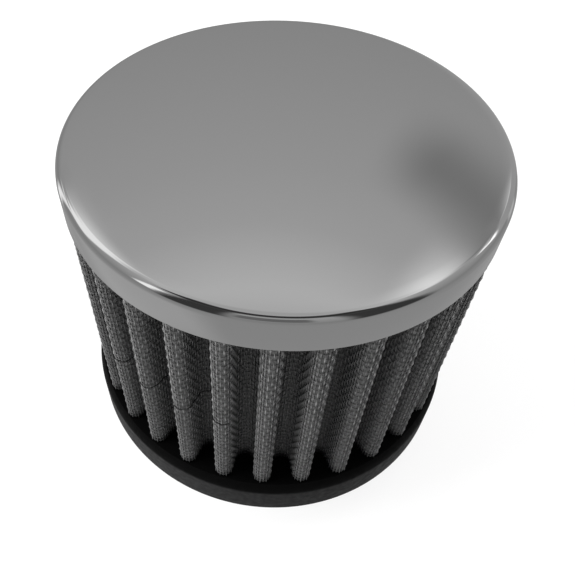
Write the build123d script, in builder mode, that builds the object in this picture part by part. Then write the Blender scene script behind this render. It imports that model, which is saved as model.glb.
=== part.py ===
"""Crankcase breather filter: a chromed cap, a pleated filter blanket and a moulded rubber base with a clamp-on neck."""

from build123d import *
from math import asin, atan2, ceil, cos, degrees, floor, radians, sin, sqrt
import os

# Sizes in millimetres. The origin is the centre of the neck's mouth and +Z points up to the cap.

# Rubber base and its neck
neck_bore_radius = 15.875
neck_wall = 3.2
neck_length = 16.0
neck_lead_in = 0.8
neck_root_radius = 1.5
bead_height = 0.9
bead_width = 2.8
base_height = 10.7
base_overhang = 1.2
shoulder_height = 3.2
seat_margin = 0.15
foot_chamfer = 1.0

# Drawn steel cap
cap_radius = 38.3
cap_wall = 0.5
body_height = 64.9
skirt_height = 7.0
crown_rise = 2.6
cap_edge_radius = 1.7

# Pleated blanket: wire screen, cotton gauze and wire screen folded together
crest_setback = 0.1
fold_spacing = 8.8
crest_radius = 1.85
least_valley_radius = 0.98
screen_thickness = 0.4
gauze_thickness = 0.6

# Round stretches are drawn as flats: of a length in the folds, of an angle in a turned edge, and rings in the crown
fold_flat = 1.7
turned_step = 45
crown_rings = 2

# Levels and radii worked out from the sizes above
base_bottom = neck_length
base_top = base_bottom + base_height
cap_top = base_bottom + body_height
skirt_bottom = cap_top - skirt_height
cap_bore_radius = cap_radius - cap_wall
pleat_tip_radius = cap_radius - crest_setback
base_radius = pleat_tip_radius + base_overhang
neck_radius = neck_bore_radius + neck_wall
bead_radius = neck_radius + bead_height
blanket_height = skirt_bottom - base_top

# Depth of each layer's two faces below the outside of the blanket
gauze_depth = screen_thickness
inner_screen_depth = gauze_depth + gauze_thickness
blanket_depth = inner_screen_depth + screen_thickness

# Crest and valley folds turn about fixed centres, so that every layer keeps its thickness, and the blanket has
# as many pleats as fit round it without a valley fold tighter than the least
crest_centre = pleat_tip_radius - crest_radius
valley_centre = crest_centre - fold_spacing
pleat_count = floor(180 / degrees(asin((crest_radius + least_valley_radius) / valley_centre)))
half_pitch = 180 / pleat_count
valley_radius = valley_centre * sin(radians(half_pitch)) - crest_radius

# The crown is part of a large sphere, and the cap's edge is rolled about a ring that touches sphere and skirt
crown_radius = (cap_radius**2 + crown_rise**2) / (2 * crown_rise)
crown_centre = cap_top + crown_rise - crown_radius
edge_ring = cap_radius - cap_edge_radius
edge_level = crown_centre + sqrt((crown_radius - cap_edge_radius) ** 2 - edge_ring**2)
edge_angle = degrees(atan2(edge_level - crown_centre, edge_ring))

# The base's shoulder rolls in from the wall, which it touches, to the edge of the pleats' seat
shoulder_level = base_top - shoulder_height
shoulder_sweep = 2 * degrees(atan2(base_overhang - seat_margin, shoulder_height))
shoulder_radius = shoulder_height / sin(radians(shoulder_sweep))

os.makedirs("parts", exist_ok=True)


def round_corners(centre, radius, start, sweep, flats):
    """Corners along an arc that is drawn as equal flats, from a start angle through a sweep."""
    angles = [radians(start + sweep * step / flats) for step in range(flats + 1)]
    return [Vector(*centre) + Vector(radius * cos(a), radius * sin(a)) for a in angles]


def fold(ring, bearing, radius, start, sweep):
    """Corners of one fold, about a centre on a ring at a bearing, with a corner at its middle."""
    centre = (ring * cos(radians(bearing)), ring * sin(radians(bearing)))
    flats = 2 * ceil(radius * radians(abs(sweep)) / fold_flat / 2)
    return round_corners(centre, radius, start, sweep, flats)


def pleat_corners(depth):
    """The closed zigzag of the blanket's section, at a depth below its outside."""
    corners = []
    for pleat in range(pleat_count):
        crest = 2 * half_pitch * pleat
        valley = crest + half_pitch
        side = crest - 90
        corners += fold(crest_centre, crest, crest_radius - depth, side, 180)
        corners += fold(valley_centre, valley, valley_radius + depth, side, 2 * half_pitch - 180)
    return corners


def pleated_layer(outer_depth, inner_depth, name):
    """One layer of the blanket, standing on the base and reaching up to the cap's lower edge and the end disc."""
    with BuildPart() as layer:
        with BuildSketch(Plane.XY.offset(base_top)):
            with BuildLine():
                Polyline(*pleat_corners(outer_depth), close=True)
            make_face()
            with BuildLine():
                Polyline(*pleat_corners(inner_depth), close=True)
            make_face(mode=Mode.SUBTRACT)
        extrude(amount=blanket_height)
    layer.part.label = name
    export_step(layer.part, f"parts/{name}.step")


def turned_corners(centre, radius, start, sweep):
    """Corners of a rounded edge in a turned outline."""
    return round_corners(centre, radius, start, sweep, ceil(abs(sweep) / turned_step))


def crown_corners(inset):
    """Half outline of the cap from its middle to the skirt's edge, drawn in parallel by an inset."""
    crown = round_corners((0, crown_centre), crown_radius - inset, 90, edge_angle - 90, crown_rings)
    edge = turned_corners((edge_ring, edge_level), cap_edge_radius - inset, edge_angle, -edge_angle)
    return crown + edge[1:] + [Vector(cap_radius - inset, skirt_bottom)]


# Rubber base, moulded in one: the pleats' seat, the shoulder, the wall, the underside, the neck and its clamp bead
shoulder_centre = (base_radius - shoulder_radius, shoulder_level)
root_centre = (neck_radius + neck_root_radius, base_bottom - neck_root_radius)
with BuildPart() as rubber_base:
    with BuildSketch(Plane.XZ):
        with BuildLine():
            Polyline(
                (neck_bore_radius, base_top),
                *turned_corners(shoulder_centre, shoulder_radius, shoulder_sweep, -shoulder_sweep),
                (base_radius, base_bottom + foot_chamfer),
                (base_radius - foot_chamfer, base_bottom),
                *turned_corners(root_centre, neck_root_radius, 90, 90),
                (neck_radius, bead_width),
                (bead_radius, bead_width - bead_height),
                (bead_radius, bead_height),
                (neck_radius, 0),
                (neck_bore_radius + neck_lead_in, 0),
                (neck_bore_radius, neck_lead_in),
                close=True,
            )
        make_face()
    revolve(axis=Axis.Z)
rubber_base.part.label = "rubber_base"
export_step(rubber_base.part, "parts/rubber_base.step")

# Pleated blanket, from the outside in
pleated_layer(0, gauze_depth, "outer_screen")
pleated_layer(gauze_depth, inner_screen_depth, "cotton_gauze")
pleated_layer(inner_screen_depth, blanket_depth, "inner_screen")

# Moulded end disc that holds the pleats' upper ends: fills the cap's skirt up to where the edge begins to roll over
with BuildPart() as end_disc:
    with BuildSketch(Plane.XY.offset(skirt_bottom)):
        Circle(cap_bore_radius)
    extrude(amount=edge_level - skirt_bottom)
end_disc.part.label = "end_disc"
export_step(end_disc.part, "parts/end_disc.step")

# Cap: one drawn steel shell of even wall, with a low crown, a rolled edge and a straight skirt
with BuildPart() as chrome_cap:
    with BuildSketch(Plane.XZ):
        with BuildLine():
            Polyline(*crown_corners(0), *reversed(crown_corners(cap_wall)), close=True)
        make_face()
    revolve(axis=Axis.Z)
chrome_cap.part.label = "chrome_cap"
export_step(chrome_cap.part, "parts/chrome_cap.step")
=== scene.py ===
from math import atan2, copysign, cos, degrees, floor, pi, radians, sin, sqrt

import bpy
from mathutils import Matrix, Vector


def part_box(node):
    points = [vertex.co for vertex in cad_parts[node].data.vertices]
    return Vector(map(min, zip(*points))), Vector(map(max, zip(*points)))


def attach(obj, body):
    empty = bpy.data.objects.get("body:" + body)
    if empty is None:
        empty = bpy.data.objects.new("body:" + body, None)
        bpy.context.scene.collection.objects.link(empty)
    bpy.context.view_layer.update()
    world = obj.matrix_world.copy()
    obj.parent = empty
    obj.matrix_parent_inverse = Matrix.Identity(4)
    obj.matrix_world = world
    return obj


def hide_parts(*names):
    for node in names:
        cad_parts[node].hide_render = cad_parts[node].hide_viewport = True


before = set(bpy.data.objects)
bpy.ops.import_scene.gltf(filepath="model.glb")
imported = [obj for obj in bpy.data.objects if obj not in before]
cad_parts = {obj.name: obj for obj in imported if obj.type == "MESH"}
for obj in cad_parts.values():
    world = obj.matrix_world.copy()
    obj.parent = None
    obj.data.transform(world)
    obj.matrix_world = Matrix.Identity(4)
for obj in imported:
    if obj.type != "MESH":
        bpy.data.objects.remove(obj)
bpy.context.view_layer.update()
bpy.ops.object.select_all(action="DESELECT")


# Rubber base, moulded in one piece: a flat seat for the pleats, a wall with a rolled shoulder, and a neck
# that is pushed over the breather pipe and held there by a hose clamp behind its bead.
mm = 0.001
base_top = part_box("rubber_base")[1].z
base_radius = 39.25 * mm
base_height = 10.7 * mm
base_bottom = base_top - base_height
seat_edge = 38.35 * mm
shoulder_height = 3.2 * mm
shoulder_foot = base_top - shoulder_height
smooth_from = base_top - 0.7 * shoulder_height
foot_round = 1.1 * mm
neck_bore = 15.875 * mm
neck_radius = 19.075 * mm
neck_root = 1.5 * mm
neck_lead_in = 0.8 * mm
bead_height = 0.9 * mm
bead_width = 2.8 * mm
rubber_black = (0.012, 0.012, 0.0122, 1)
rubber_worn = (0.016, 0.016, 0.0162, 1)
# Near black: painted shade on the shoulder and the seat, and the black of the pleats' feet, which is partly
# their dip in the rubber and partly painted shade.
near_black_and_shade = (0.0015, 0.0015, 0.0015, 1)
wall_gloss, shoulder_gloss = 0.1, 0.03
grain_depth = 0.03 * mm
merge_distance = 1e-6


def arc(centre, radius, start, sweep, steps):
    """Points along an arc in the plane of radius and height, from a start through a sweep in degrees."""
    angles = [radians(start + sweep * step / steps) for step in range(steps + 1)]
    return [Vector((centre[0] + radius * cos(a), 0, centre[1] + radius * sin(a))) for a in angles]


def drawn(name, points):
    """An object in edit mode, whose mesh is one line drawn by extruding its last vertex to each point."""
    bpy.ops.mesh.primitive_plane_add(size=mm)
    line = bpy.context.object
    line.name = line.data.name = name
    bpy.ops.object.mode_set(mode="EDIT")
    bpy.ops.mesh.select_mode(type="VERT")
    bpy.ops.mesh.merge(type="CENTER")
    bpy.ops.transform.translate(value=points[0])
    for last, point in zip(points, points[1:]):
        bpy.ops.mesh.extrude_region_move(TRANSFORM_OT_translate={"value": point - last})
    return line


def turned(name, outline, sides, smooth_angle):
    """A round piece: its closed half outline is spun once round the axis."""
    piece = drawn(name, outline)
    bpy.ops.mesh.select_all(action="SELECT")
    bpy.ops.mesh.spin(steps=sides, angle=2 * pi, center=(0, 0, 0), axis=(0, 0, 1))
    bpy.ops.mesh.select_all(action="SELECT")
    bpy.ops.mesh.remove_doubles(threshold=merge_distance)
    bpy.ops.mesh.normals_make_consistent(inside=False)
    bpy.ops.object.mode_set(mode="OBJECT")
    bpy.ops.object.shade_smooth_by_angle(angle=radians(smooth_angle))
    bpy.ops.object.select_all(action="DESELECT")
    return piece


def painted(name, colour, metal, roughness):
    """A material with one shader, and its nodes, links and shader for a pattern to be added."""
    paint = bpy.data.materials.new(name)
    paint.use_nodes = True
    shader = paint.node_tree.nodes["Principled BSDF"]
    shader.inputs["Base Color"].default_value = colour
    shader.inputs["Metallic"].default_value = metal
    shader.inputs["Roughness"].default_value = roughness
    return paint, paint.node_tree.nodes, paint.node_tree.links, shader


def fed(links, socket, value):
    """Links a value to a socket, or sets it there if it is a plain number or colour."""
    if isinstance(value, bpy.types.NodeSocket):
        links.new(value, socket)
    else:
        socket.default_value = value


def risen(nodes, links, value, low, high, least=0.0, most=1.0):
    """A share that goes smoothly from its least to its most while a value goes from low to high."""
    share = nodes.new("ShaderNodeMapRange")
    share.interpolation_type = "SMOOTHSTEP"
    settings = {"Value": value, "From Min": low, "From Max": high, "To Min": least, "To Max": most}
    for socket, setting in settings.items():
        fed(links, share.inputs[socket], setting)
    return share.outputs["Result"]


def blended(nodes, links, share, first, second):
    """A colour between two, which may each be a socket, by a share."""
    mix = nodes.new("ShaderNodeMix")
    mix.data_type = "RGBA"
    links.new(share, mix.inputs["Factor"])
    fed(links, mix.inputs[6], first)
    fed(links, mix.inputs[7], second)
    return mix.outputs[2]


def mottled(nodes, links, scale, detail, low, high):
    """A noise in object coordinates between two values or colours."""
    place = nodes.new("ShaderNodeTexCoord")
    noise = nodes.new("ShaderNodeTexNoise")
    noise.inputs["Scale"].default_value = scale
    noise.inputs["Detail"].default_value = detail
    links.new(place.outputs["Object"], noise.inputs["Vector"])
    ramp = nodes.new("ShaderNodeValToRGB")
    for stop, position, value in zip(ramp.color_ramp.elements, (0.3, 0.7), (low, high)):
        stop.position = position
        stop.color = value if isinstance(value, tuple) else (value, value, value, 1)
    links.new(noise.outputs["Fac"], ramp.inputs["Fac"])
    return ramp.outputs["Color"]


def roughened(nodes, links, shader, height, distance, strength):
    """Bump on a shader from a height socket."""
    bump = nodes.new("ShaderNodeBump")
    bump.inputs["Distance"].default_value = distance
    bump.inputs["Strength"].default_value = strength
    links.new(height, bump.inputs["Height"])
    links.new(bump.outputs["Normal"], shader.inputs["Normal"])


# The wall has a faintly mottled skin. The shoulder and the seat carry painted shade: they are painted near
# black for the shadow under the cap, and reflect less.
rubber, nodes, links, shader = painted("black_rubber", rubber_black, 0, 0.5)
place = nodes.new("ShaderNodeTexCoord")
split = nodes.new("ShaderNodeSeparateXYZ")
links.new(place.outputs["Object"], split.inputs["Vector"])
wall_skin = mottled(nodes, links, 700, 4, rubber_black, rubber_worn)
# Painted shade from the shoulder's foot upwards.
shoulder_shade = risen(nodes, links, split.outputs["Z"], shoulder_foot, smooth_from)
links.new(blended(nodes, links, shoulder_shade, wall_skin, near_black_and_shade), shader.inputs["Base Color"])
gloss = risen(nodes, links, split.outputs["Z"], shoulder_foot, smooth_from, wall_gloss, shoulder_gloss)
links.new(gloss, shader.inputs["Specular IOR Level"])
links.new(mottled(nodes, links, 900, 3, 0.42, 0.6), shader.inputs["Roughness"])
grain = nodes.new("ShaderNodeTexNoise")
grain.inputs["Scale"].default_value = 2600
links.new(place.outputs["Object"], grain.inputs["Vector"])
roughened(nodes, links, shader, grain.outputs["Fac"], grain_depth, 0.4)

shoulder_sweep = 2 * degrees(atan2(base_radius - seat_edge, shoulder_height))
shoulder_radius = shoulder_height / sin(radians(shoulder_sweep))
shoulder_centre = (base_radius - shoulder_radius, shoulder_foot)
shoulder = arc(shoulder_centre, shoulder_radius, shoulder_sweep, -shoulder_sweep, 8)
foot = arc((base_radius - foot_round, base_bottom + foot_round), foot_round, 0, -90, 5)
root = arc((neck_radius + neck_root, base_bottom - neck_root), neck_root, 90, 90, 6)
bead_steps = 10
bead = [Vector((neck_radius + bead_height * sin(pi * step / bead_steps), 0,
                bead_width * (1 - step / bead_steps))) for step in range(bead_steps)]
mouth = [Vector((neck_radius, 0, 0)), Vector((neck_bore + neck_lead_in, 0, 0)),
         Vector((neck_bore, 0, neck_lead_in))]
seat = [Vector((neck_bore, 0, base_top))]
base_outline = seat + shoulder + foot + root + bead + mouth + seat
base = turned("moulded_base", base_outline, sides=192, smooth_angle=32)
base.data.materials.append(rubber)
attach(base, "root")
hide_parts("rubber_base")


# Pleated blanket: cotton gauze between two wire screens, folded together into pleats that stand on the base.
# All three layers turn about the same two fold centres, one in each crest and one in each valley.
screen_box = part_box("outer_screen")
blanket_bottom, blanket_top = screen_box[0].z, screen_box[1].z
blanket_height = blanket_top - blanket_bottom
tip_radius = 38.2 * mm
crest_radius = 1.85 * mm
crest_centre = tip_radius - crest_radius
fold_spacing = 2.0 * mm
valley_centre = crest_centre - fold_spacing
pleat_count = 30
half_pitch = pi / pleat_count
valley_radius = valley_centre * sin(half_pitch) - crest_radius
wall_length = crest_centre - valley_centre * cos(half_pitch)
screen_thickness = 0.4 * mm
gauze_thickness = 0.6 * mm


def pleat_length(depth):
    """Length of one pleat's line, from the middle of a valley to the middle of the next."""
    half_valley = pi / 2 - half_pitch
    return pi * (crest_radius - depth) + 2 * wall_length + 2 * half_valley * (valley_radius + depth)


def pleat_spot(distance, depth):
    """Place and outward direction on a layer's line, at a distance from the middle of the first crest."""
    length = pleat_length(depth)
    pleat = floor(distance / length + 0.5)
    rest = distance - pleat * length
    side, rest = copysign(1, rest), abs(rest)
    crest, valley = crest_radius - depth, valley_radius + depth
    quarter = pi / 2 * crest
    if rest < quarter:
        turn = rest / crest
        spot, facing = (crest_centre + crest * cos(turn), crest * sin(turn)), (cos(turn), sin(turn))
    elif rest < quarter + wall_length:
        spot, facing = (crest_centre - (rest - quarter), crest), (0, 1)
    else:
        turn = (rest - quarter - wall_length) / valley
        middle = (valley_centre * cos(half_pitch), valley_centre * sin(half_pitch))
        spot = (middle[0] - valley * sin(turn), middle[1] - valley * cos(turn))
        facing = (sin(turn), cos(turn))
    bearing = Matrix.Rotation(2 * half_pitch * pleat, 3, "Z")
    return bearing @ Vector((spot[0], side * spot[1], 0)), bearing @ Vector((facing[0], side * facing[1], 0))


def round_all_pleats():
    """Copies what is being edited to every other pleat, round the axis, and merges the seams."""
    bpy.ops.mesh.select_all(action="SELECT")
    bpy.ops.mesh.spin(steps=pleat_count - 1, dupli=True, angle=2 * pi * (pleat_count - 1) / pleat_count,
                      center=(0, 0, 0), axis=(0, 0, 1))
    bpy.ops.mesh.select_all(action="SELECT")
    bpy.ops.mesh.remove_doubles(threshold=merge_distance)
    bpy.ops.mesh.normals_make_consistent(inside=False)


def folded_layer(name, depth, layer_thickness):
    """One layer: a strip along the middle of its thickness, raised to its height and folded all round."""
    steps = 36
    smooth_angle = radians(50)
    length = pleat_length(depth)
    foot = Vector((0, 0, blanket_bottom))
    strip = [pleat_spot(length * (step / steps - 0.5), depth)[0] + foot for step in range(steps + 1)]
    layer = drawn(name, strip)
    bpy.ops.mesh.select_all(action="SELECT")
    bpy.ops.mesh.extrude_region_move(TRANSFORM_OT_translate={"value": (0, 0, blanket_height)})
    round_all_pleats()
    bpy.ops.object.mode_set(mode="OBJECT")
    thickness = layer.modifiers.new("thickness", "SOLIDIFY")
    thickness.thickness = layer_thickness
    thickness.offset = 0
    bpy.ops.object.modifier_apply(modifier="thickness")
    bpy.ops.object.shade_smooth_by_angle(angle=smooth_angle)
    bpy.ops.object.select_all(action="DESELECT")
    return layer


def worked(nodes, links, operation, first, second=None, third=None):
    """A step of reckoning between sockets and numbers."""
    step = nodes.new("ShaderNodeMath")
    step.operation = operation
    for socket, value in zip(step.inputs, (first, second, third)):
        if value is not None:
            fed(links, socket, value)
    return step.outputs["Value"]


def blanket_place(nodes, links):
    """Distance from the axis and height above the blanket's foot, in object coordinates."""
    place = nodes.new("ShaderNodeTexCoord")
    split = nodes.new("ShaderNodeSeparateXYZ")
    links.new(place.outputs["Object"], split.inputs["Vector"])
    squares = worked(nodes, links, "ADD", worked(nodes, links, "POWER", split.outputs["X"], 2.0),
                     worked(nodes, links, "POWER", split.outputs["Y"], 2.0))
    distance = worked(nodes, links, "SQRT", squares)
    return distance, worked(nodes, links, "SUBTRACT", split.outputs["Z"], blanket_bottom)


# Cotton gauze, several plies worked as one. Its valleys carry painted shade, darker towards the valley floor,
# and its
# foot is black: set in the seat's rubber, with painted shade above that.
gauze_depth = screen_thickness + gauze_thickness / 2
gauze = folded_layer("cotton_plies", gauze_depth, gauze_thickness)
# Painted shade for the valleys.
cotton_valley_shade = (0.06, 0.06, 0.06, 1)
cotton_dark = (0.09, 0.09, 0.09, 1)
cotton_light = (0.14, 0.14, 0.14, 1)
# Height of the black foot: the rubber dip, and painted shade above it.
gauze_dip_and_shade = 3.5 * mm
thread_depth = 0.2 * mm
cotton, nodes, links, shader = painted("cotton", cotton_dark, 0, 0.9)
threads = mottled(nodes, links, 1400, 3, cotton_dark, cotton_light)
distance, height = blanket_place(nodes, links)
# Painted shade in the valleys, fading out towards the crests.
on_crest = risen(nodes, links, distance, valley_centre - valley_radius, crest_centre)
gauze_colour = blended(nodes, links, on_crest, cotton_valley_shade, threads)
# Black at the foot: the seat's rubber, and painted shade above it.
above_foot = risen(nodes, links, height, 0.0, gauze_dip_and_shade)
links.new(blended(nodes, links, above_foot, near_black_and_shade, gauze_colour), shader.inputs["Base Color"])
roughened(nodes, links, shader, threads, thread_depth, 0.8)
gauze.data.materials.append(cotton)
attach(gauze, "root")
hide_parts("cotton_gauze")


# Outer screen: wire cloth in plain weave, with its warp wires upright and its weft wires round the pleats.
# Each wire bends over one crossing wire and under the next. The lowest ends are black: dipped in the seat's
# rubber on the crests, and painted shade that climbs 4 mm in the valleys.
warp_radius = 0.14 * mm
weft_radius = 0.09 * mm
weft_sides = 4
# Weight of the painted highlight on the wefts' outer knuckles.
weft_highlight = 0.45
warps_per_pleat = 26
weft_count = 37
weft_pitch = blanket_height / weft_count
screen_depth = 0.22 * mm
warp_bend = 0.1 * mm
weft_bend = 0.06 * mm
warp_spacing = pleat_length(screen_depth) / warps_per_pleat


def crossing(number, out=0):
    """Place of a warp on the screen's line and the outward direction there, moved outwards if asked."""
    spot, facing = pleat_spot((number + 0.5) * warp_spacing - pleat_length(screen_depth) / 2, screen_depth)
    return spot + facing * out, facing


def mark_knuckles(wire, heights):
    """Notes at each vertex a weight for a painted highlight, from 0 to 1, where its wire stands out of the
    cloth.
    """
    knuckle = wire.data.attributes.new("knuckle", "FLOAT", "POINT")
    for spot, height in zip(knuckle.data, heights):
        spot.value = height


def warp_set(name, side, first, highlight_level):
    """Every second warp of the screen: one wire copied along a pleat, and that pleat copied round."""
    bpy.ops.mesh.primitive_circle_add(vertices=3, radius=warp_radius, fill_type="NGON")
    model = bpy.context.object
    bpy.ops.object.mode_set(mode="EDIT")
    bpy.ops.transform.rotate(value=pi / 2, orient_axis="Z", center_override=(0, 0, 0))
    bpy.ops.transform.translate(value=(side * warp_bend, 0, blanket_bottom))
    bpy.ops.mesh.extrude_region_move(TRANSFORM_OT_translate={"value": (0, 0, weft_pitch / 2)})
    for row in range(1, weft_count):
        to_next = (2 * side * (-1) ** row * warp_bend, 0, weft_pitch)
        bpy.ops.mesh.extrude_region_move(TRANSFORM_OT_translate={"value": to_next})
    bpy.ops.mesh.extrude_region_move(TRANSFORM_OT_translate={"value": (0, 0, weft_pitch / 2)})
    bpy.ops.object.mode_set(mode="OBJECT")
    bpy.ops.object.select_all(action="DESELECT")
    rows = [floor((vertex.co.z - blanket_bottom) / weft_pitch) for vertex in model.data.vertices]
    # A painted highlight on the knuckles that stand out, at this set's level.
    mark_knuckles(model, [highlight_level if side * (-1) ** row > 0 else 0 for row in rows])
    for number in range(first, warps_per_pleat, 2):
        spot, facing = crossing(number)
        wire = model.copy()
        wire.data = model.data.copy()
        wire.data.transform(Matrix.Translation(spot) @ Matrix.Rotation(atan2(facing.y, facing.x), 4, "Z"))
        bpy.context.collection.objects.link(wire)
        wire.select_set(True)
        bpy.context.view_layer.objects.active = wire
    bpy.data.objects.remove(model)
    bpy.ops.object.join()
    warps = bpy.context.object
    warps.name = warps.data.name = name
    bpy.ops.object.mode_set(mode="EDIT")
    round_all_pleats()
    bpy.ops.object.mode_set(mode="OBJECT")
    bpy.ops.object.shade_smooth()
    bpy.ops.object.select_all(action="DESELECT")
    return warps


def weft(name, numbers, leans, height, closed):
    """One weft wire along the screen's line, drawn as a curve past the numbered warps and made a mesh."""
    line = bpy.data.curves.new(name, "CURVE")
    line.dimensions = "3D"
    line.bevel_depth = weft_radius
    line.bevel_resolution = 0
    line.use_fill_caps = True
    spline = line.splines.new("POLY")
    spline.points.add(len(numbers) - 1)
    spline.use_cyclic_u = closed
    for point, number, lean in zip(spline.points, numbers, leans):
        spot = crossing(number, lean)[0]
        point.co = (spot.x, spot.y, blanket_bottom + height, 1)
    wire = bpy.data.objects.new(name, line)
    bpy.context.collection.objects.link(wire)
    bpy.context.view_layer.objects.active = wire
    wire.select_set(True)
    bpy.ops.object.convert(target="MESH")
    wire = bpy.context.object
    wire.name = wire.data.name = name
    places = [min(vertex.index // weft_sides, len(leans) - 1) for vertex in wire.data.vertices]
    # Painted highlight on the knuckles that lean outwards.
    mark_knuckles(wire, [weft_highlight if leans[place] > 0 else 0 for place in places])
    bpy.ops.object.shade_smooth()
    return wire


def weft_set(name, side, first):
    """Every second weft: one closed wire round all pleats, stacked."""
    numbers = range(warps_per_pleat * pleat_count)
    wefts = weft(name, numbers, [side * weft_bend * (1 if number % 2 == 0 else -1) for number in numbers],
                 (first + 0.5) * weft_pitch, True)
    stack = wefts.modifiers.new("stack", "ARRAY")
    stack.use_relative_offset = False
    stack.use_constant_offset = True
    stack.constant_offset_displace = (0, 0, 2 * weft_pitch)
    stack.count = (weft_count - first + 1) // 2
    bpy.ops.object.modifier_apply(modifier="stack")
    bpy.ops.object.select_all(action="DESELECT")
    return wefts


# The knuckles that stand out of the cloth carry a painted highlight, strongest on the crests and towards the
# cap.
# The valleys carry painted shade, and the hollows are a mottled dull grey.
# Painted shade for the valleys.
wire_valley_shade = (0.11, 0.11, 0.11, 1)
wire_dull = (0.1, 0.1, 0.1, 1)
wire_grey = (0.17, 0.17, 0.17, 1)
wire_highlight = (0.36, 0.36, 0.36, 1)
wire_metal = 0.5
dipped_crest = 1.4 * mm
# Painted shade: in the valleys the black foot climbs this high.
valley_foot_shade = 4 * mm
highlight_start = 0.3
highlight_off_crest = 0.2
highlight_at_foot = 0.4
highlight_low, highlight_high = 4 * mm, 30 * mm
wire_paint, nodes, links, shader = painted("screen_wire", wire_grey, wire_metal, 0.35)
hollow_colour = mottled(nodes, links, 300, 3, wire_dull, wire_grey)
highlight_attribute = nodes.new("ShaderNodeAttribute")
highlight_attribute.attribute_name = "knuckle"
distance, height = blanket_place(nodes, links)
# Painted shade in the valleys, by distance from the axis.
on_crest = risen(nodes, links, distance, valley_centre, tip_radius)
# Painted highlight on the outer knuckles, strongest at the crest's tip and towards the cap, weaker at the
# foot.
highlight = risen(nodes, links, highlight_attribute.outputs["Fac"], highlight_start, 1.0)
crest_highlight = risen(nodes, links, distance, crest_centre, tip_radius, highlight_off_crest)
height_highlight = risen(nodes, links, height, highlight_low, highlight_high, highlight_at_foot)
for part_highlight in (crest_highlight, height_highlight):
    highlight = worked(nodes, links, "MULTIPLY", highlight, part_highlight)
dull_colour = blended(nodes, links, on_crest, wire_valley_shade, hollow_colour)
wire_colour = blended(nodes, links, highlight, dull_colour, wire_highlight)
# Black at the foot: dipped in the rubber on the crests, and painted shade up the valleys.
foot_black_height = worked(nodes, links, "MULTIPLY_ADD", on_crest, dipped_crest - valley_foot_shade, valley_foot_shade)
above_dip_and_shade = risen(nodes, links, height, 0.0, foot_black_height)
links.new(blended(nodes, links, above_dip_and_shade, near_black_and_shade, wire_colour), shader.inputs["Base Color"])
links.new(worked(nodes, links, "MULTIPLY", above_dip_and_shade, wire_metal), shader.inputs["Metallic"])
links.new(mottled(nodes, links, 700, 2, 0.3, 0.45), shader.inputs["Roughness"])
# The second set of warps gets a weaker painted highlight.
screen_sets = [
    warp_set("outer_warps_a", 1, 0, 1),
    warp_set("outer_warps_b", -1, 1, 0.7),
    weft_set("outer_wefts_a", -1, 0),
    weft_set("outer_wefts_b", 1, 1),
]
for wires in screen_sets:
    wires.data.materials.append(wire_paint)

# A short length of dark wire was woven in beside the wefts on one side, and lies on the face of the cloth.
dark_height = 21.9 * mm
dark_out = 0.22 * mm
dark_in = 0.3 * dark_out
dark_warps_over = 4
dark_first, dark_last = -11.2, -7.38
dark_low = (0.004, 0.004, 0.004, 1)
dark_high = (0.02, 0.02, 0.02, 1)
dark_numbers = range(round(dark_first * warps_per_pleat), round(dark_last * warps_per_pleat))
dark_leans = [dark_out if number % dark_warps_over else dark_in for number in dark_numbers]
dark_weft = weft("dark_weft", dark_numbers, dark_leans, dark_height, False)
bpy.ops.object.select_all(action="DESELECT")
dark_paint, nodes, links, shader = painted("dark_wire", near_black_and_shade, 0.3, 0.6)
links.new(mottled(nodes, links, 900, 2, dark_low, dark_high), shader.inputs["Base Color"])
dark_weft.data.materials.append(dark_paint)
for wires in screen_sets + [dark_weft]:
    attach(wires, "root")
    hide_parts("outer_screen")


# Inner screen: a plain folded sheet behind the gauze. Its weave isn't modelled, since it can be seen only
# from below, through the neck.
inner_depth = screen_thickness + gauze_thickness + screen_thickness / 2
inner_screen = folded_layer("inner_cloth", inner_depth, screen_thickness)
inner_paint, nodes, links, shader = painted("inner_wire", wire_grey, 0.8, 0.45)
links.new(mottled(nodes, links, 900, 3, wire_dull, wire_grey), shader.inputs["Base Color"])
inner_screen.data.materials.append(inner_paint)
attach(inner_screen, "root")
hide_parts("inner_screen")


# End disc: moulded resin that holds the pleats' upper ends in the cap. It keeps its solid, which the cap and
# the pleats hide all round.
resin_black = (0.03, 0.03, 0.03, 1)
resin_low = (0.025, 0.025, 0.025, 1)
resin_high = (0.04, 0.04, 0.04, 1)
resin, nodes, links, shader = painted("moulded_resin", resin_black, 0, 0.5)
links.new(mottled(nodes, links, 200, 3, resin_low, resin_high), shader.inputs["Base Color"])
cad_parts["end_disc"].data.materials.clear()
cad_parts["end_disc"].data.materials.append(resin)


# Cap: drawn from one steel disc and chromed, with a low crown, an edge rolled over into a straight skirt, and
# a trimmed lower edge. It is pressed over the end disc.
cap_low, cap_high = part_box("chrome_cap")
cap_radius = 38.3 * mm
cap_wall = 0.5 * mm
crown_rise = 2.6 * mm
edge_radius = 1.7 * mm
outer_trim = 0.15 * mm
inner_trim = 0.1 * mm
chrome_grey = (0.62, 0.62, 0.62, 1)
skirt_bottom = cap_low.z
crown_top = cap_high.z
crown_radius = (cap_radius**2 + crown_rise**2) / (2 * crown_rise)
crown_middle = crown_top - crown_radius
edge_ring = cap_radius - edge_radius
edge_level = crown_middle + sqrt((crown_radius - edge_radius) ** 2 - edge_ring**2)
edge_angle = degrees(atan2(edge_level - crown_middle, edge_ring))
outside = (arc((0, crown_middle), crown_radius, 90, edge_angle - 90, 24)
           + arc((edge_ring, edge_level), edge_radius, edge_angle, -edge_angle, 16)[1:]
           + arc((cap_radius - outer_trim, skirt_bottom + outer_trim), outer_trim, 0, -90, 3))
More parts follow.
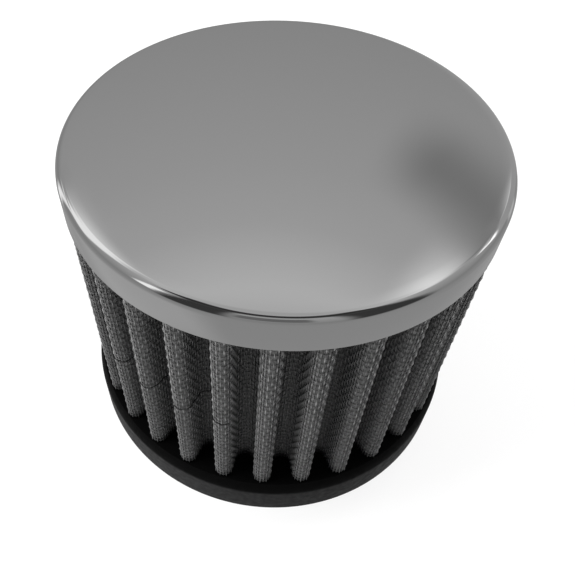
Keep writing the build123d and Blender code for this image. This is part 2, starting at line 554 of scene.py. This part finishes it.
inside = (arc((cap_radius - cap_wall + inner_trim, skirt_bottom + inner_trim), inner_trim, 270, -90, 2)
          + arc((edge_ring, edge_level), edge_radius - cap_wall, 0, edge_angle, 6)
          + arc((0, crown_middle), crown_radius - cap_wall, edge_angle, 90 - edge_angle, 8)[1:])
cap = turned("drawn_cap", outside + inside, sides=256, smooth_angle=30)
chrome, nodes, links, shader = painted("chrome", chrome_grey, 1, 0.06)
links.new(mottled(nodes, links, 120, 2, 0.05, 0.085), shader.inputs["Roughness"])
cap.data.materials.append(chrome)
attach(cap, "root")
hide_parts("chrome_cap")


# Floor: a plain white sheet under the part. The camera sees most of it as bare white, and the rest as it is
# lit, so that the shadow stays faint.
floor_size = 6
floor_white = (0.9, 0.9, 0.9, 1)
bare_white_share = 0.8
bpy.ops.mesh.primitive_plane_add(size=floor_size)
ground = bpy.context.object
ground.name = "ground"
white, nodes, links, shader = painted("white_paper", floor_white, 0, 0.9)
shader.inputs["Specular IOR Level"].default_value = 0
path = nodes.new("ShaderNodeLightPath")
seen = worked(nodes, links, "MAXIMUM", path.outputs["Is Camera Ray"], path.outputs["Is Glossy Ray"])
seen = worked(nodes, links, "MAXIMUM", seen, path.outputs["Is Transmission Ray"])
bare_share = worked(nodes, links, "MULTIPLY", seen, bare_white_share)
bare = nodes.new("ShaderNodeEmission")
bare.inputs["Color"].default_value = (1, 1, 1, 1)
bare.inputs["Strength"].default_value = 1
mix = nodes.new("ShaderNodeMixShader")
links.new(bare_share, mix.inputs["Fac"])
links.new(shader.outputs["BSDF"], mix.inputs[1])
links.new(bare.outputs["Emission"], mix.inputs[2])
links.new(mix.outputs["Shader"], nodes["Material Output"].inputs["Surface"])
ground.data.materials.append(white)
ground.visible_glossy = False
bpy.ops.object.select_all(action="DESELECT")


# Reflections: a large grey tent round the stage that only the metal shows, with soft lamps and dark walls
# painted on it. It lights nothing.
tent_radius = 8.0
bpy.ops.mesh.primitive_uv_sphere_add(segments=64, ring_count=32, radius=tent_radius, location=(0, 0, 0))
bpy.ops.object.shade_smooth()
tent = bpy.context.object
tent.name = "grey_tent"
tent_paint = bpy.data.materials.new("tent_grey")
tent_paint.use_nodes = True
nodes, links = tent_paint.node_tree.nodes, tent_paint.node_tree.links
nodes.clear()


def reckoned(operation, *values):
    """A step of reckoning on the tent."""
    return worked(nodes, links, operation, *values)


def faded(offset, half_width, fade):
    """1 within half a width of nought, and down to 0 at its ends."""
    return risen(nodes, links, reckoned("ABSOLUTE", offset), half_width, half_width - fade)


place = nodes.new("ShaderNodeTexCoord")
outward = nodes.new("ShaderNodeVectorMath")
outward.operation = "NORMALIZE"
links.new(place.outputs["Object"], outward.inputs[0])
split = nodes.new("ShaderNodeSeparateXYZ")
links.new(outward.outputs["Vector"], split.inputs["Vector"])
around = reckoned("DEGREES", reckoned("ARCTAN2", split.outputs["X"], split.outputs["Y"]))
bearing = reckoned("ADD", around, degrees(half_pitch))
elevation = reckoned("DEGREES", reckoned("ARCSINE", split.outputs["Z"]))

# Grey levels of the tent itself, by elevation in degrees.
tent_levels = [(-60, 0.35), (-20, 0.35), (5, 0.3), (15, 0.35), (30, 0.4), (45, 0.45), (55, 0.5), (65, 0.65),
               (80, 0.5)]
ramp = nodes.new("ShaderNodeValToRGB")
links.new(reckoned("DIVIDE", reckoned("ADD", elevation, 90), 180), ramp.inputs["Fac"])
stops = ramp.color_ramp.elements
for number, (level, grey) in enumerate(tent_levels):
    position = (level + 90) / 180
    stop = stops[number] if number < 2 else stops.new(position)
    stop.position = position
    stop.color = (grey, grey, grey, 1)

# Each area is listed: its name, then in degrees its bearing from straight back, its elevation, width
# and height, the fade of its edges and its turn, then its glow.
areas = [
    ("right_upper", 60, 56, 60, 22, 12, 0, 1.1),
    ("right_softbox", 55, 29, 40, 24, 5, -8, 1.8),
    ("right_strip", 62, 5, 12, 40, 4, 0, 0.6),
    ("left_upper", -62, 48, 56, 30, 12, 10, 1.2),
    ("left_softbox", -72, 32, 36, 30, 8, 0, 1.2),
    ("left_strip", -66, 0, 12, 50, 5, 10, 1.2),
    ("dark_behind", 180, 62, 150, 26, 8, 0, 0.04),
    ("dark_right", 130, 28, 44, 66, 10, 0, 0.05),
    ("dark_left", -145, 28, 40, 66, 10, 0, 0.05),
    ("pale_behind", 180, 28, 40, 32, 6, 0, 0.17),
    ("dark_flag", 40, 41, 50, 22, 11, 12, 0.25),
    ("light_wall", 42, 12, 60, 40, 3, 38, 0.43),
    ("rear_lamp", -122, 28, 14, 34, 5, 0, 1.3),
    ("left_arc", -52, 31, 40, 8, 4, 22, 0.4),
    ("right_arc", 54, 38, 34, 6, 3, -16, 0.3),
    ("right_low", 34, -20, 30, 40, 10, 0, 0.45),
    ("left_low", -100, -50, 110, 70, 30, 0, 0.47),
]
brightness = ramp.outputs["Color"]
for name, middle, level, width, height, fade, turn, glow in areas:
    across = reckoned("WRAP", reckoned("SUBTRACT", bearing, middle), 180, -180)
    up = reckoned("SUBTRACT", elevation, level)
    slant, upright = sin(radians(turn)), cos(radians(turn))
    along = reckoned("ADD", reckoned("MULTIPLY", across, upright), reckoned("MULTIPLY", up, slant))
    over = reckoned("SUBTRACT", reckoned("MULTIPLY", up, upright), reckoned("MULTIPLY", across, slant))
    mask = reckoned("MULTIPLY", faded(along, width / 2, fade), faded(over, height / 2, fade))
    mix = nodes.new("ShaderNodeMix")
    mix.label = name
    links.new(mask, mix.inputs["Factor"])
    links.new(brightness, mix.inputs["A"])
    mix.inputs["B"].default_value = glow
    brightness = mix.outputs["Result"]
emission = nodes.new("ShaderNodeEmission")
emission.inputs["Color"].default_value = (1, 1, 1, 1)
links.new(brightness, emission.inputs["Strength"])
output = nodes.new("ShaderNodeOutputMaterial")
links.new(emission.outputs["Emission"], output.inputs["Surface"])
tent.data.materials.append(tent_paint)
tent.visible_camera = False
tent.visible_diffuse = False
tent.visible_transmission = False
tent.visible_shadow = False
bpy.ops.object.select_all(action="DESELECT")


# Light: an even white surrounding and three large soft lamps, the left one strongest. The metal doesn't
# mirror them, since its reflections are painted on the tent.
room_brightness = 0.6
world = bpy.data.worlds.new("white_room")
bpy.context.scene.world = world
world.use_nodes = True
world.node_tree.nodes["Background"].inputs["Color"].default_value = (1, 1, 1, 1)
world.node_tree.nodes["Background"].inputs["Strength"].default_value = room_brightness

# Each lamp: its name, its bearing from straight back and elevation in degrees, its size in metres and its
# power in watts.
lamps = [("left_lamp", -100, 28, 0.6, 20), ("right_lamp", 60, 40, 0.6, 3), ("top_lamp", 0, 80, 0.8, 5)]
lamp_distance = 1.0
for name, bearing, elevation, size, power in lamps:
    toward = Vector((sin(radians(bearing) - half_pitch) * cos(radians(elevation)),
                     cos(radians(bearing) - half_pitch) * cos(radians(elevation)), sin(radians(elevation))))
    bpy.ops.object.light_add(type="AREA", location=toward * lamp_distance)
    lamp = bpy.context.object
    lamp.name = name
    lamp.data.size = size
    lamp.data.energy = power
    lamp.rotation_euler = toward.to_track_quat("Z", "Y").to_euler()
    lamp.visible_glossy = False
bpy.ops.object.select_all(action="DESELECT")


# Camera: above the part and close to it, with the crest of a pleat straight below. Its place, dip and lens
# were fitted to the outlines in the photograph, whose sizes are in pixels here.
picture_width = 576
focal_length = 660.11
axis_column = 231.99
sensor_width = 36
camera_spot = Matrix.Rotation(half_pitch, 3, "Z") @ Vector((-1.72, -89.71, 151.58)) * mm
camera_turn = radians(4.52) + half_pitch
camera_dip = radians(51.216)
bpy.ops.object.camera_add(location=camera_spot, rotation=(pi / 2 - camera_dip, 0, camera_turn))
camera = bpy.context.object
camera.data.sensor_width = sensor_width
camera.data.lens = sensor_width * focal_length / picture_width
camera.data.shift_x = (picture_width / 2 - axis_column) / picture_width
camera.data.clip_start = mm
bpy.context.scene.camera = camera
bpy.context.scene.view_settings.view_transform = "Standard"
